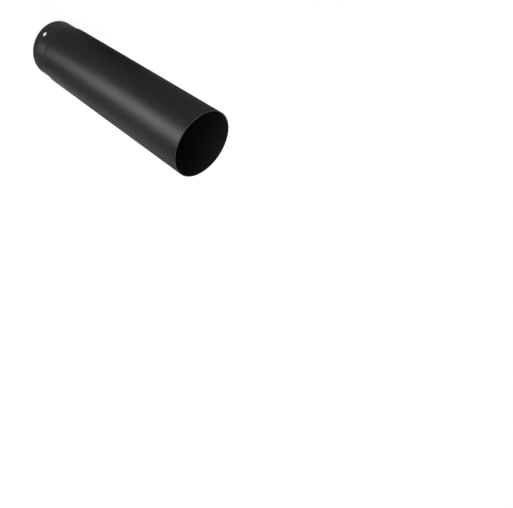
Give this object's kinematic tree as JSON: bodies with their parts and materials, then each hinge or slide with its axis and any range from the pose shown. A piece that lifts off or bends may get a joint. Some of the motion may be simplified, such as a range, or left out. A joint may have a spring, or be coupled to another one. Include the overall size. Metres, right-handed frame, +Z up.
{
  "type": "stove pipe",
  "caption": "Straight black steel stove pipe with a plain open mouth at the top and a swaged spigot below that slides into the mouth of the next length.",
  "frame": {"origin": "centre of the spigot's lower end, on the surface the pipe stands on", "axes": "+Z up along the flue's axis from the spigot to the mouth, -Y towards the hole that the picture shows, -X towards the weld"},
  "size_m": [0.1277, 0.1274, 0.5],
  "materials": {
    "black_finish": "satin black heat-proof coat on sheet steel"
  },
  "bodies": {
    "root": {"pipe": "black_finish"}
  },
  "joints": []
}
